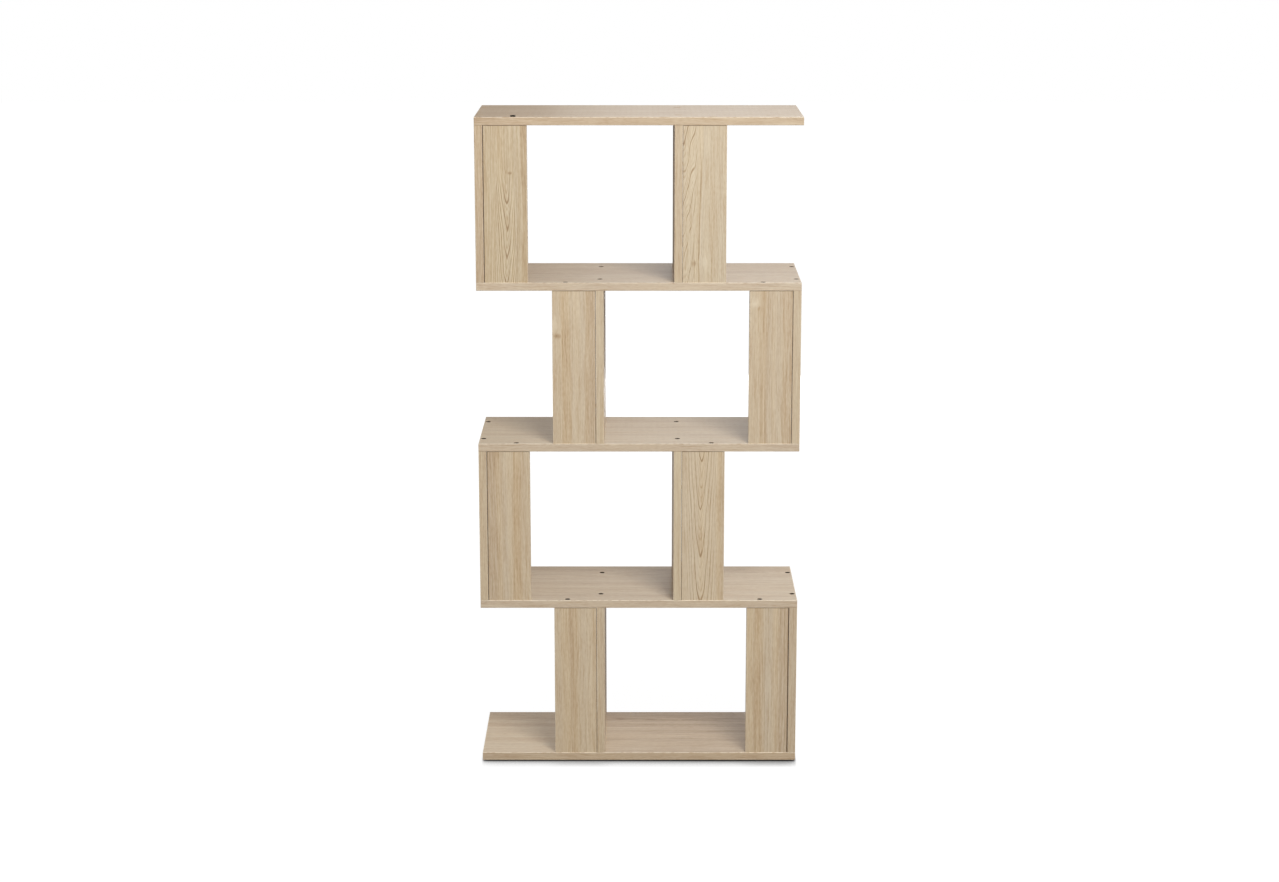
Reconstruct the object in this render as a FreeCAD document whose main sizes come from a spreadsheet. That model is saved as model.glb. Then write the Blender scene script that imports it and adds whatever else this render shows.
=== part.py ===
import FreeCAD, Part
import Sketcher
import math
import os
import re

# Zigzag bookshelf: five equal shelves carried by two L-shaped posts on each of four tiers.
# The posts change sides from tier to tier, so each tier is closed at one end and open at the other.
# X runs along the shelves, the front faces -Y, Z is up and the origin is on the floor, bottom centre.

TIERS = range(1, 5)
SHELVES = range(1, 6)

# Driving dimensions in millimetres.
DIMENSIONS = [
    ("shelf_width", 600, "length of every shelf, end to end"),
    ("shelf_depth", 240, "depth of every shelf and side panel, front to back"),
    ("shelf_thickness", 15, "thickness of the shelf board"),
    ("panel_height", 289, "clear height of a tier, and length of every post panel"),
    ("side_thickness", 15, "thickness of the side panels"),
    ("front_thickness", 15, "thickness of the front panels"),
    ("front_width", 80, "width of a front panel, from its joint edge to its free edge"),
    ("bay_width", 350, "clear width between the two side panels of a tier"),
    ("front_setback", 1, "how far a front panel sits behind the shelf fronts"),
    ("end_gap", 0.8, "open joint between side and front panel in an end post"),
    ("middle_gap", 0.4, "the same joint in a middle post"),
    ("band_thickness", 1, "edge banding"),
    ("band_radius", 0.8, "rounding of the banded edges"),
    ("screw_inset", 45, "side panel screws, from the front and back of the shelf"),
    ("front_screw_inset", 25, "front panel screws, from the panel's free edge"),
    ("screw_length", 50, "furniture screw, over its head"),
    ("screw_diameter", 7, "thread of the furniture screw"),
    ("screw_tip", 4, "length of the screw's point"),
    ("head_diameter", 9.5, "flat head of the furniture screw"),
    ("head_height", 3, "height of that head"),
    ("head_recess", 2, "how deep the head lies below the board's face"),
    ("proud_head", 2.5, "how far the top shelf's one open screw stands above the face"),
    ("head_clearance", 0.5, "recess wider than the head, on the diameter"),
    ("shank_clearance", 0.3, "hole through the shelf wider than the screw"),
    ("thread_clearance", 0.1, "hole in the panel's end wider than the screw"),
    ("screw_end_gap", 3, "hole in the panel's end deeper than the screw"),
    ("socket_size", 4, "hexagon socket, across its flats"),
    ("socket_depth", 2.2, "depth of that socket"),
    ("dowel_diameter", 8, "wooden dowel"),
    ("dowel_length", 30, "length of that dowel"),
    ("dowel_chamfer", 1, "chamfer at the dowel's ends"),
    ("dowel_seat", 10, "length of dowel that sits in a shelf or side panel"),
    ("dowel_clearance", 0.1, "dowel hole wider than the dowel"),
    ("dowel_end_gap", 0.5, "dowel hole deeper than the dowel"),
    ("end_dowel_inset", 25, "front panel end dowels, from the panel's joint edge"),
    ("edge_dowel_inset", 70, "joint edge dowels, from the panel's ends"),
    ("glide_diameter", 18, "plastic glide under the bottom shelf"),
    ("glide_height", 3, "height of the glide, and of the shelf above the floor"),
    ("glide_radius", 1, "rounding of the glide's rim"),
    ("glide_inset", 30, "glides, from the edges of the bottom shelf to their centres"),
    ("nail_diameter", 2, "nail that holds a glide"),
    ("nail_length", 14, "length of that nail, over its head"),
    ("nail_tip", 3, "length of the nail's point"),
    ("nail_head_diameter", 5, "head of the nail"),
    ("nail_head_height", 1, "height of that head"),
    ("nail_recess", 0.6, "how deep the nail's head lies in the glide"),
    ("nail_clearance", 0.1, "nail holes wider than the nail"),
    ("nail_end_gap", 1, "nail hole in the shelf deeper than the nail"),
    ("cover_diameter", 14, "adhesive disc over a screw in the top shelf"),
    ("cover_thickness", 0.3, "thickness of that disc"),
]

UPRIGHT = FreeCAD.Rotation()
END_FOR_END = FreeCAD.Rotation(FreeCAD.Vector(0, 1, 0), 180)
LYING = FreeCAD.Rotation(FreeCAD.Vector(0, 1, 0), 90)
FACING_BACK = FreeCAD.Rotation(FreeCAD.Vector(0, 0, 1), 180)
FACING_LEFT = FreeCAD.Rotation(FreeCAD.Vector(0, 0, 1), -90)
FACING_RIGHT = FreeCAD.Rotation(FreeCAD.Vector(0, 0, 1), 90)

doc = FreeCAD.newDocument("ZigzagBookshelf")
sheet = doc.addObject("Spreadsheet::Sheet", "Sizes")
for row, (alias, value, meaning) in enumerate(DIMENSIONS, 1):
    sheet.set(f"A{row}", meaning)
    sheet.set(f"B{row}", str(value))
    sheet.setAlias(f"B{row}", alias)
doc.recompute()

nodes = []


def bound(formula):
    """Write a formula of dimension names and functions so that it reads the sheet."""
    return re.sub(r"\b([a-z]\w*)\b(?!\()", r"Sizes.\1", formula)


def evaluate(formula):
    """The formula's present value."""
    return float(sheet.evalExpression(bound(formula)))


def bind(item, **formulas):
    """Tie properties of an object to formulas of the sheet."""
    for name, formula in formulas.items():
        item.setExpression(name, bound(formula))


def move(item, x, y, z, rotation):
    """Set an object's place in the frame of the bookshelf."""
    item.Placement = FreeCAD.Placement(FreeCAD.Vector(), rotation)
    for axis, formula in zip("xyz", (x, y, z)):
        item.setExpression(f"Placement.Base.{axis}", bound(formula))


# Sketches and features shared by the pieces

def new_body(label):
    body = doc.addObject("PartDesign::Body", label)
    body.Label = label
    return body


def new_sketch(body, plane, level="0"):
    """A sketch on one of the body's own planes, raised to a level along the plane's normal."""
    sketch = body.newObject("Sketcher::SketchObject", "Sketch")
    support = next(item for item in body.Origin.OriginFeatures if item.Role == plane)
    sketch.AttachmentSupport = (support, [""])
    sketch.MapMode = "FlatFace"
    sketch.setExpression("AttachmentOffset.Base.z", bound(level))
    return sketch


def pin_point(sketch, geometry, point, across, up):
    """Hold a point of the sketch at a place counted from the sketch's origin."""
    for kind, axis, formula in (("DistanceX", -2, across), ("DistanceY", -1, up)):
        if formula == "0":
            sketch.addConstraint(Sketcher.Constraint("PointOnObject", geometry, point, axis))
            continue
        distance = Sketcher.Constraint(kind, -1, 1, geometry, point, evaluate(formula))
        index = sketch.addConstraint(distance)
        sketch.setExpression(f"Constraints[{index}]", bound(formula))


def draw_loop(sketch, points):
    """Straight lines from point to point and back to the first, joined end to end."""
    lines = [
        sketch.addGeometry(Part.LineSegment(start, end))
        for start, end in zip(points, points[1:] + points[:1])
    ]
    for line, following in zip(lines, lines[1:] + lines[:1]):
        sketch.addConstraint(Sketcher.Constraint("Coincident", line, 2, following, 1))
    return lines


def draw_polygon(sketch, corners):
    """A closed outline through corners given as formulas."""
    lines = draw_loop(sketch, [FreeCAD.Vector(evaluate(across), evaluate(up), 0) for across, up in corners])
    for line, (across, up) in zip(lines, corners):
        pin_point(sketch, line, 1, across, up)


def draw_circles(sketch, centres, diameter):
    """Equal circles at the centres."""
    for across, up in centres:
        centre = FreeCAD.Vector(evaluate(across), evaluate(up), 0)
        normal = FreeCAD.Vector(0, 0, 1)
        circle = sketch.addGeometry(Part.Circle(centre, normal, evaluate(diameter) / 2))
        pin_point(sketch, circle, 3, across, up)
        index = sketch.addConstraint(Sketcher.Constraint("Diameter", circle, evaluate(diameter)))
        sketch.setExpression(f"Constraints[{index}]", bound(diameter))


def draw_hexagon(sketch, across_flats):
    """A regular hexagon about the sketch's origin, with one corner on its first axis."""
    radius = evaluate(across_flats) / math.sqrt(3)
    rim = sketch.addGeometry(Part.Circle(FreeCAD.Vector(), FreeCAD.Vector(0, 0, 1), radius), True)
    sketch.addConstraint(Sketcher.Constraint("Coincident", rim, 3, -1, 1))
    index = sketch.addConstraint(Sketcher.Constraint("Diameter", rim, 2 * radius))
    sketch.setExpression(f"Constraints[{index}]", bound(f"2 * {across_flats} / sqrt(3)"))
    angles = [math.radians(60 * step) for step in range(6)]
    points = [FreeCAD.Vector(radius * math.cos(turn), radius * math.sin(turn), 0) for turn in angles]
    lines = draw_loop(sketch, points)
    for line in lines:
        sketch.addConstraint(Sketcher.Constraint("PointOnObject", line, 2, rim))
    for line in lines[1:]:
        sketch.addConstraint(Sketcher.Constraint("Equal", lines[0], line))
    sketch.addConstraint(Sketcher.Constraint("PointOnObject", lines[0], 1, -1))


def pad(body, sketch, length):
    feature = body.newObject("PartDesign::Pad", "Pad")
    feature.Profile = sketch
    bind(feature, Length=length)
    return feature


def pocket(body, sketch, depth, along_normal=False):
    """Cut into the body, against the sketch's normal unless told otherwise."""
    feature = body.newObject("PartDesign::Pocket", "Pocket")
    feature.Profile = sketch
    feature.Reversed = along_normal
    bind(feature, Length=depth)


def revolve(body, corners):
    """A turned piece: a half outline, as radius and height, swept around the upright axis."""
    sketch = new_sketch(body, "XZ_Plane")
    draw_polygon(sketch, corners)
    feature = body.newObject("PartDesign::Revolution", "Revolution")
    feature.Profile = sketch
    feature.ReferenceAxis = (sketch, ["V_Axis"])
    feature.Angle = 360


def stepped_hole(body, level, centres, diameter, recess_diameter, recess_depth, upward=False):
    """Holes right through the body, with a wider recess where they start."""
    sketch = new_sketch(body, "XY_Plane", level)
    draw_circles(sketch, centres, diameter)
    doc.recompute()
    feature = body.newObject("PartDesign::Hole", "Hole")
    feature.Profile = sketch
    feature.ThreadType = "None"
    feature.DepthType = "ThroughAll"
    feature.HoleCutType = "Counterbore"
    feature.HoleCutCustomValues = True
    feature.Reversed = upward
    bind(feature, Diameter=diameter, HoleCutDiameter=recess_diameter, HoleCutDepth=recess_depth)


def board(label, x_span, y_span, height):
    """A rectangular board that stands on the body's XY plane."""
    body = new_body(label)
    sketch = new_sketch(body, "XY_Plane")
    (left, right), (front, back) = x_span, y_span
    draw_polygon(sketch, [(left, front), (right, front), (right, back), (left, back)])
    pad(body, sketch, height)
    return body


def edge_band(label, length, width, height, rounded):
    """A strip whose outer face looks along -Y, with that face's edges along some axes rounded off."""
    body = board(label, ("0", length), ("0", width), height)
    doc.recompute()
    strip = body.Tip
    names = []
    for number, edge in enumerate(strip.Shape.Edges, 1):
        step = edge.Vertexes[1].Point - edge.Vertexes[0].Point
        in_outer_face = edge.BoundBox.YMax < evaluate(width) / 2
        if in_outer_face and any(abs(step.dot(axis)) > edge.Length / 2 for axis in rounded):
            names.append(f"Edge{number}")
    fillet = body.newObject("PartDesign::Fillet", "Fillet")
    fillet.Base = (strip, names)
    bind(fillet, Radius="min(band_radius; 0.9 * band_thickness)")
    return body


def add_group(label, places):
    """One node of separate pieces: each place is a template, x, y, z and a rotation."""
    links = []
    for template, x, y, z, rotation in places:
        link = doc.addObject("App::Link", f"{label}_copy")
        link.LinkedObject = template
        move(link, x, y, z, rotation)
        links.append(link)
    group = doc.addObject("Part::Compound", label)
    group.Label = label
    group.Links = links
    nodes.append(group)


# The layout that every piece follows

def shelf_underside(shelf):
    return f"glide_height + {shelf - 1} * (shelf_thickness + panel_height)"


def shelf_top(shelf):
    return f"{shelf_underside(shelf)} + shelf_thickness"


def closed_left(tier):
    return tier % 2 == 0


def from_left(tier, distance):
    """Distance from the shelves' left end of a point counted from the tier's closed end."""
    return distance if closed_left(tier) else f"shelf_width - ({distance})"


def in_frame(across, depth):
    """X and Y of a point counted from the shelves' left end and from their front."""
    return f"{across} - shelf_width / 2", f"{depth} - shelf_depth / 2"


def along(tier, distance):
    """X of a point counted from the tier's closed end."""
    return f"{from_left(tier, distance)} - shelf_width / 2"


# Each post starts at this distance from the tier's closed end, and has its own open joint.
POSTS = {
    "end": ("0", "end_gap"),
    "middle": ("(side_thickness + bay_width)", "middle_gap"),
}
FRONT_LINE = "front_setback + front_thickness / 2"


def joint_edge(post):
    """Where the post's front panel begins."""
    start, gap = POSTS[post]
    return f"{start} + side_thickness + {gap}"


def screw_places(post):
    """The post's screws, as distances from the closed end and from the shelf's front."""
    side_line = f"{POSTS[post][0]} + side_thickness / 2"
    front_screw = f"{joint_edge(post)} + front_width - front_screw_inset"
    return [
        (side_line, "screw_inset"),
        (side_line, "shelf_depth - screw_inset"),
        (front_screw, FRONT_LINE),
    ]


def end_dowel_place(post):
    return (f"{joint_edge(post)} + end_dowel_inset", FRONT_LINE)


def tier_screws(tier):
    """Every screw of a tier, as distances from the shelf's left end and from its front."""
    return [(from_left(tier, away), depth) for post in POSTS for away, depth in screw_places(post)]


def tier_end_dowels(tier):
    return [(from_left(tier, away), depth) for away, depth in map(end_dowel_place, POSTS)]


# Shelves: laminated boards, drilled for the tier below from the top and for the tier above from beneath.

SCREW_HOLE = "screw_diameter + shank_clearance"
SCREW_RECESS = "head_diameter + head_clearance"
RECESS_DEPTH = "head_recess + head_height"
DOWEL_HOLE = "dowel_diameter + dowel_clearance"
GLIDES = [
    (across, depth)
    for across in ("glide_inset", "shelf_width - glide_inset")
    for depth in ("glide_inset", "shelf_depth - glide_inset")
]


def make_shelf(shelf, label):
    """The board inside its edge bands, with the holes of the tiers that it joins."""
    inside_x = ("band_thickness", "shelf_width - band_thickness")
    inside_y = ("band_thickness", "shelf_depth - band_thickness")
    body = board(label, inside_x, inside_y, "shelf_thickness")
    tier_below, tier_above = shelf - 1, shelf
    dowel_depth = "dowel_seat + dowel_end_gap"
    if tier_below in TIERS:
        places = tier_screws(tier_below)
        stepped_hole(body, "shelf_thickness", places, SCREW_HOLE, SCREW_RECESS, RECESS_DEPTH)
        sketch = new_sketch(body, "XY_Plane")
        draw_circles(sketch, tier_end_dowels(tier_below), DOWEL_HOLE)
        pocket(body, sketch, dowel_depth, along_normal=True)
    if tier_above in TIERS:
        places = tier_screws(tier_above)
        stepped_hole(body, "0", places, SCREW_HOLE, SCREW_RECESS, RECESS_DEPTH, upward=True)
        sketch = new_sketch(body, "XY_Plane", "shelf_thickness")
        draw_circles(sketch, tier_end_dowels(tier_above), DOWEL_HOLE)
        pocket(body, sketch, dowel_depth)
    if shelf == SHELVES[0]:
        sketch = new_sketch(body, "XY_Plane")
        draw_circles(sketch, GLIDES, "nail_diameter + nail_clearance")
        nail_depth = "nail_recess + nail_length - glide_height + nail_end_gap"
        pocket(body, sketch, nail_depth, along_normal=True)
    move(body, "-shelf_width / 2", "-shelf_depth / 2", shelf_underside(shelf), UPRIGHT)
    nodes.append(body)


X_AXIS = FreeCAD.Vector(1, 0, 0)
Z_AXIS = FreeCAD.Vector(0, 0, 1)
long_band = edge_band(
    "long_shelf_band", "shelf_width", "band_thickness", "shelf_thickness", [X_AXIS, Z_AXIS]
)
short_band = edge_band(
    "short_shelf_band", "shelf_depth - 2 * band_thickness", "band_thickness", "shelf_thickness", [X_AXIS]
)

for shelf in SHELVES:
    label = f"shelf_{shelf}"
    make_shelf(shelf, label)
    level = shelf_underside(shelf)
    left, right = "-shelf_width / 2", "shelf_width / 2"
    front, back = "-shelf_depth / 2", "shelf_depth / 2"
    add_group(f"{label}_edge_bands", [
        (long_band, left, front, level, UPRIGHT),
        (long_band, right, back, level, FACING_BACK),
        (short_band, left, f"{back} - band_thickness", level, FACING_LEFT),
        (short_band, right, f"{front} + band_thickness", level, FACING_RIGHT),
    ])

# Posts: a full-depth side panel with a narrow front panel butted against its face.

THREAD_HOLE = "screw_diameter + thread_clearance"
THREAD_DEPTH = "screw_length + head_recess - shelf_thickness + screw_end_gap"


def place_panel(body, tier, distance, depth):
    """Stand a panel on its tier, turned end for end where the tier is closed on the right."""
    x, y = in_frame(from_left(tier, distance), depth)
    if closed_left(tier):
        move(body, x, y, shelf_top(tier), UPRIGHT)
    else:
        move(body, x, y, shelf_underside(tier + 1), END_FOR_END)


def drill_both_ends(body, centres, diameter, depth):
    """Equal blind holes in a panel's lower and upper end."""
    for level, along_normal in (("0", True), ("panel_height", False)):
        sketch = new_sketch(body, "XY_Plane", level)
        draw_circles(sketch, centres, diameter)
        pocket(body, sketch, depth, along_normal)


def make_side_panel(tier, post):
    """A panel inside its front and back bands, with dowel holes in the face its front panel meets."""
    inside_y = ("band_thickness", "shelf_depth - band_thickness")
    body = board(f"tier_{tier}_{post}_side_panel", ("0", "side_thickness"), inside_y, "panel_height")
    middle = "side_thickness / 2"
    screws = [(middle, "screw_inset"), (middle, "shelf_depth - screw_inset")]
    drill_both_ends(body, screws, THREAD_HOLE, THREAD_DEPTH)
    sketch = new_sketch(body, "YZ_Plane", "side_thickness")
    heights = ("edge_dowel_inset", "panel_height - edge_dowel_inset")
    draw_circles(sketch, [(FRONT_LINE, height) for height in heights], DOWEL_HOLE)
    pocket(body, sketch, "dowel_seat + dowel_end_gap")
    place_panel(body, tier, POSTS[post][0], "0")
    nodes.append(body)


def make_front_panel(tier, post):
    """A narrow panel from its joint edge to the band on its free edge."""
    core = ("0", "front_width - band_thickness")
    body = board(f"tier_{tier}_{post}_front_panel", core, ("0", "front_thickness"), "panel_height")
    middle = "front_thickness / 2"
    drill_both_ends(body, [("front_width - front_screw_inset", middle)], THREAD_HOLE, THREAD_DEPTH)
    end_depth = "dowel_length - dowel_seat + dowel_end_gap"
    drill_both_ends(body, [("end_dowel_inset", middle)], DOWEL_HOLE, end_depth)
    sketch = new_sketch(body, "YZ_Plane")
    heights = ("edge_dowel_inset", "panel_height - edge_dowel_inset")
    draw_circles(sketch, [(middle, height) for height in heights], DOWEL_HOLE)
    pocket(body, sketch, f"{end_depth} - {POSTS[post][1]}", along_normal=True)
    place_panel(body, tier, joint_edge(post), "front_setback")
    nodes.append(body)


side_band = edge_band("side_panel_band", "side_thickness", "band_thickness", "panel_height", [Z_AXIS])
front_band = edge_band("front_panel_band", "front_thickness", "band_thickness", "panel_height", [Z_AXIS])


def band_side_panels(tier):
    floor = shelf_top(tier)
    places = []
    for start, _ in POSTS.values():
        near = start if closed_left(tier) else f"{start} + side_thickness"
        far = f"{start} + side_thickness" if closed_left(tier) else start
        places.append((side_band, along(tier, near), "-shelf_depth / 2", floor, UPRIGHT))
        places.append((side_band, along(tier, far), "shelf_depth / 2", floor, FACING_BACK))
    add_group(f"tier_{tier}_side_panel_bands", places)


def band_front_panels(tier):
    floor = shelf_top(tier)
    front = "front_setback - shelf_depth / 2"
    places = []
    for post in POSTS:
        free_edge = along(tier, f"{joint_edge(post)} + front_width")
        if closed_left(tier):
            places.append((front_band, free_edge, front, floor, FACING_RIGHT))
        else:
            places.append((front_band, free_edge, f"{front} + front_thickness", floor, FACING_LEFT))
    add_group(f"tier_{tier}_front_panel_bands", places)


for tier in TIERS:
    for post in POSTS:
        make_side_panel(tier, post)
        make_front_panel(tier, post)
    band_side_panels(tier)
    band_front_panels(tier)

# Screws: flat heads with a hexagon socket, sunk in recesses above and below each tier.
# The top shelf's front screw over the end post is not driven home, and its head stands proud.

TOP_TIER = TIERS[-1]
proud_screw = (from_left(TOP_TIER, screw_places("end")[-1][0]), FRONT_LINE)
proud_tip = f"{shelf_top(SHELVES[-1])} + proud_head - screw_length"

screw = new_body("furniture_screw")
revolve(screw, [
    ("0", "0"),
    ("screw_diameter / 2", "screw_tip"),
    ("screw_diameter / 2", "screw_length - head_height"),
    ("head_diameter / 2", "screw_length - head_height"),
    ("head_diameter / 2", "screw_length"),
    ("0", "screw_length"),
])
socket = new_sketch(screw, "XY_Plane", "screw_length")
draw_hexagon(socket, "socket_size")
pocket(screw, socket, "socket_depth")

for tier in TIERS:
    upper_tip = f"{shelf_top(tier + 1)} - head_recess - screw_length"
    lower_tip = f"{shelf_underside(tier)} + head_recess + screw_length"
    upper, lower = [], []
    for place in tier_screws(tier):
        x, y = in_frame(*place)
        proud = tier == TOP_TIER and place == proud_screw
        upper.append((screw, x, y, proud_tip if proud else upper_tip, UPRIGHT))
        lower.append((screw, x, y, lower_tip, END_FOR_END))
    add_group(f"tier_{tier}_upper_screws", upper)
    add_group(f"tier_{tier}_lower_screws", lower)

# Dowels: hidden pins that keep the front panels in line with the shelves and the side panels.

dowel = new_body("dowel")
dowel_sketch = new_sketch(dowel, "XY_Plane")
draw_circles(dowel_sketch, [("0", "0")], "dowel_diameter")
dowel_pad = pad(dowel, dowel_sketch, "dowel_length")
doc.recompute()
rims = [
    f"Edge{number}" for number, edge in enumerate(dowel_pad.Shape.Edges, 1)
    if isinstance(edge.Curve, Part.Circle)
]
dowel_chamfer = dowel.newObject("PartDesign::Chamfer", "Chamfer")
dowel_chamfer.Base = (dowel_pad, rims)
bind(dowel_chamfer, Size="dowel_chamfer")


def add_end_dowels(tier):
    """Upright dowels from the front panels' ends into the shelves below and above."""
    places = []
    for place in tier_end_dowels(tier):
        x, y = in_frame(*place)
        places.append((dowel, x, y, f"{shelf_top(tier)} - dowel_seat", UPRIGHT))
        places.append((dowel, x, y, f"{shelf_underside(tier + 1)} + dowel_seat", END_FOR_END))
    add_group(f"tier_{tier}_end_dowels", places)


def add_edge_dowels(tier):
    """Level dowels from the side panels' faces into the front panels' joint edges."""
    floor = shelf_top(tier)
    places = []
    for start, _ in POSTS.values():
        seat = f"{start} + side_thickness - dowel_seat"
        near = seat if closed_left(tier) else f"{seat} + dowel_length"
        for height in ("edge_dowel_inset", "panel_height - edge_dowel_inset"):
            y = f"{FRONT_LINE} - shelf_depth / 2"
            places.append((dowel, along(tier, near), y, f"{floor} + {height}", LYING))
    add_group(f"tier_{tier}_edge_dowels", places)


for tier in TIERS:
    add_end_dowels(tier)
    add_edge_dowels(tier)

# Glides: low plastic discs that keep the bottom shelf off the floor, each held by a nail.

glide = new_body("glide")
glide_sketch = new_sketch(glide, "XY_Plane")
draw_circles(glide_sketch, [("0", "0")], "glide_diameter")
glide_pad = pad(glide, glide_sketch, "glide_height")
doc.recompute()
lower_rim = next(
    f"Edge{number}" for number, edge in enumerate(glide_pad.Shape.Edges, 1)
    if edge.BoundBox.ZMax < evaluate("glide_height") / 2
)
glide_fillet = glide.newObject("PartDesign::Fillet", "Fillet")
glide_fillet.Base = (glide_pad, [lower_rim])
bind(glide_fillet, Radius="min(glide_radius; 0.9 * glide_height)")
stepped_hole(
    glide, "0", [("0", "0")], "nail_diameter + nail_clearance", "nail_head_diameter + nail_clearance",
    "nail_recess + nail_head_height", upward=True
)

nail = new_body("glide_nail")
revolve(nail, [
    ("0", "0"),
    ("nail_head_diameter / 2", "0"),
    ("nail_head_diameter / 2", "nail_head_height"),
    ("nail_diameter / 2", "nail_head_height"),
    ("nail_diameter / 2", "nail_length - nail_tip"),
    ("0", "nail_length"),
])

glide_places = [in_frame(*place) for place in GLIDES]
add_group("floor_glides", [(glide, x, y, "0", UPRIGHT) for x, y in glide_places])
add_group("glide_nails", [(nail, x, y, "nail_recess", UPRIGHT) for x, y in glide_places])

# Covers: discs in the shelves' own colour, stuck over the top shelf's screws.
# A disc would not lie flat on the proud screw, so that one has none.

cover = doc.addObject("Part::Cylinder", "screw_cover")
bind(cover, Radius="cover_diameter / 2", Height="cover_thickness")

covered = [in_frame(*place) for place in tier_screws(TOP_TIER) if place != proud_screw]
add_group("top_screw_covers", [(cover, x, y, shelf_top(SHELVES[-1]), UPRIGHT) for x, y in covered])

# Check the document, then write one file for each piece or group.

doc.recompute()
for item in doc.Objects:
    if "Invalid" in item.State or "Error" in item.State:
        raise RuntimeError(f"{item.Label} could not be made")
    if item.isDerivedFrom("PartDesign::Hole") or item.isDerivedFrom("PartDesign::Pocket"):
        if item.Shape.Volume >= item.BaseFeature.Shape.Volume:
            raise RuntimeError(f"{item.Label} of {item.getParentGeoFeatureGroup().Label} cuts nothing")
for node in nodes:
    if node.Shape.isNull() or not node.Shape.isValid():
        raise RuntimeError(f"{node.Label} has no sound shape")

os.makedirs("parts", exist_ok=True)
for node in nodes:
    node.Shape.exportStep(os.path.join("parts", f"{node.Label}.step"))
print(f"{len(nodes)} nodes, {sum(len(node.Shape.Solids) for node in nodes)} solids")
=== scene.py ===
"""Looks of the zigzag bookshelf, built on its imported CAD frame, with a studio floor, lights and camera."""

import math

import bpy
import numpy as np
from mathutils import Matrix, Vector


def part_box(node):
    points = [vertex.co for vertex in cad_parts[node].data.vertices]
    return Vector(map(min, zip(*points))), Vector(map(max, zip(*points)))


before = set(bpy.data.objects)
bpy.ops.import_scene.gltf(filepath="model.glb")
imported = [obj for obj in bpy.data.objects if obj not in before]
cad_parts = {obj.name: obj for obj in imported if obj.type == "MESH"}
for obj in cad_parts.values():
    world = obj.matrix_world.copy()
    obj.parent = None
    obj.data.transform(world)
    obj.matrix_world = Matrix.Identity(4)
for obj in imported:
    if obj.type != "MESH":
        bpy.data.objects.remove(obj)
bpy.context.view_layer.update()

# The five shelves are chipboard boards, faced on both sides with a printed oak paper.
# They are sawn to one size, and the printed grain runs along the shelf from left to right.
# Screw heads sink into bores in both faces, and the chips in the walls of the bores are painted dark with
# their shade.
MM = 1000.0
AXIS_X, AXIS_Y, AXIS_Z = 0, 1, 2


def linear(shade):
    """Scene-linear colour of a display colour whose parts run from 0 to 255, by the sRGB curve."""
    part = np.array(shade) / 255.0
    curve = np.where(part <= 0.04045, part / 12.92, ((part + 0.055) / 1.055) ** 2.4)
    return (*curve.tolist(), 1.0)


def add(tree, kind, inputs=None, **settings):
    """Adds one shader node. Each input is a plain value or the output of another node."""
    made = tree.nodes.new("ShaderNode" + kind)
    for name, value in settings.items():
        setattr(made, name, value)
    for name, value in (inputs or {}).items():
        if isinstance(value, bpy.types.NodeSocket):
            tree.links.new(value, made.inputs[name])
        else:
            made.inputs[name].default_value = value
    return made


def calc(tree, operation, *values):
    """The result of one Math node."""
    made = add(tree, "Math", dict(enumerate(values)), operation=operation)
    return made.outputs[0]


def distance(tree, value, place):
    """How far a value is from a place, on either side."""
    return calc(tree, "ABSOLUTE", calc(tree, "SUBTRACT", value, place))


def between(tree, value, start, end):
    """A smooth step of value: 0 at start, 1 at end, and flat beyond both."""
    step = {"Value": value, "From Min": start, "From Max": end}
    return add(tree, "MapRange", step, interpolation_type="SMOOTHSTEP").outputs["Result"]


MIX_SHARE, MIX_FIRST, MIX_SECOND = 0, 6, 7
MIX_RESULT = 2


def blend(tree, share, first, second):
    """The first colour where share is 0, the second where it is 1."""
    made = add(tree, "Mix", {MIX_SHARE: share, MIX_FIRST: first, MIX_SECOND: second}, data_type="RGBA")
    return made.outputs[MIX_RESULT]


def ramp(tree, share, stops):
    """The colour at share along straight runs between stops, each a place from 0 to 1 and a colour."""
    made = add(tree, "ValToRGB", {"Fac": share})
    run = made.color_ramp
    run.elements[0].position, run.elements[0].color = stops[0]
    run.elements[1].position, run.elements[1].color = stops[-1]
    for place, colour in stops[1:-1]:
        run.elements.new(place).color = colour
    return made.outputs["Color"]


def in_mm(tree, corner=(0.0, 0.0, 0.0)):
    """The piece's own points in mm, counted from a corner that is given in metres."""
    place = add(tree, "TexCoord").outputs["Object"]
    shift = {"Vector": place, "Scale": (MM, MM, MM), "Location": tuple(-MM * part for part in corner)}
    return add(tree, "Mapping", shift).outputs["Vector"]


def axes_of(tree, point):
    """The X, Y and Z parts of a point."""
    return add(tree, "SeparateXYZ", {0: point}).outputs


def fresh_material(name):
    """An empty node material and its tree."""
    made = bpy.data.materials.new(name)
    made.use_nodes = True
    made.node_tree.nodes.clear()
    return made, made.node_tree


RELIEF_STRENGTH = 0.5


def satin(material, colour, roughness, height, depth, **sockets):
    """Ends a material in one Principled shader whose relief is the height, depth metres deep."""
    tree = material.node_tree
    relief = add(tree, "Bump", {"Strength": RELIEF_STRENGTH, "Distance": depth, "Height": height})
    inputs = {"Base Color": colour, "Roughness": roughness, "Normal": relief.outputs["Normal"]}
    for name, value in sockets.items():
        inputs[name.replace("_", " ")] = value
    shader = add(tree, "BsdfPrincipled", inputs)
    add(tree, "OutputMaterial", {"Surface": shader.outputs["BSDF"]})


def dress(node, material):
    """Puts one material in every slot of a CAD node."""
    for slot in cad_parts[node].material_slots:
        slot.material = material


GRAIN_DEPTH = 7.0
GRAIN_ROUGHNESS = 0.55


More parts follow.
